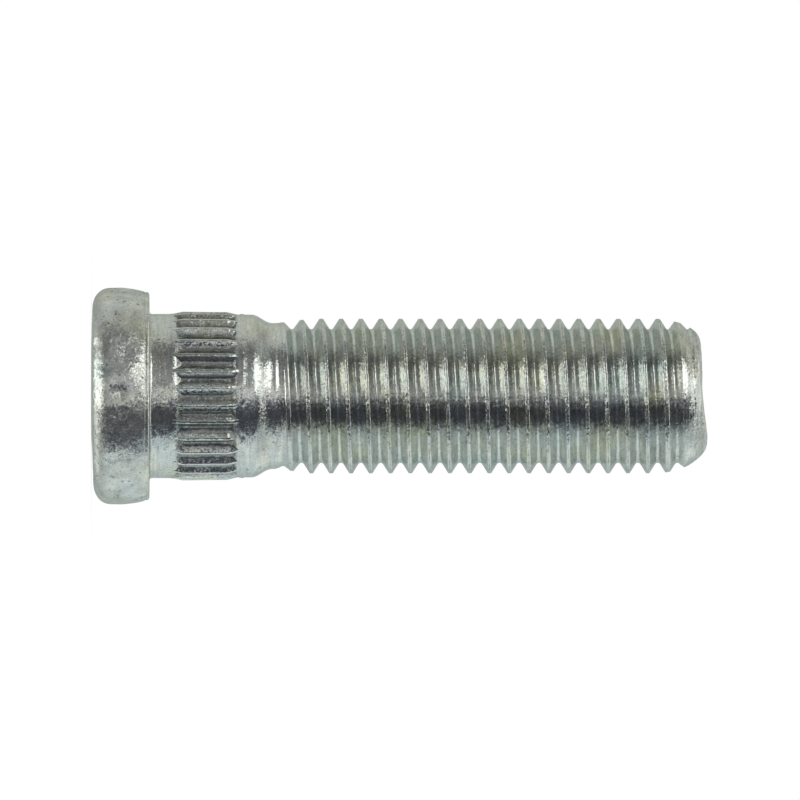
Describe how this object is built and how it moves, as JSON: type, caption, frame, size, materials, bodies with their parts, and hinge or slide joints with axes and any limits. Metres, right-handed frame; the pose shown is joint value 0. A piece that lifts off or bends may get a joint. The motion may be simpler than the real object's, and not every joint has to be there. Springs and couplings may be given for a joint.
{
  "type": "wheel stud",
  "caption": "Press-in wheel stud with a round crowned head, a serrated shank band, a stepped shoulder and a metric fine thread with a rounded lead-in, zinc plated",
  "frame": {"origin": "centre of the flat outer face of the head, on which the stud stands", "axes": "+Z along the stud's axis from the head to the threaded tip; +X and +Y across it, with a serration tooth centred on +X"},
  "size_m": [0.0164, 0.0164, 0.0465],
  "materials": {
    "zinc_plated_steel": "bright zinc plating with a faint green and yellow tint, slightly mottled and scratched"
  },
  "bodies": {
    "root": {"wheel_stud": "zinc_plated_steel"}
  },
  "joints": []
}
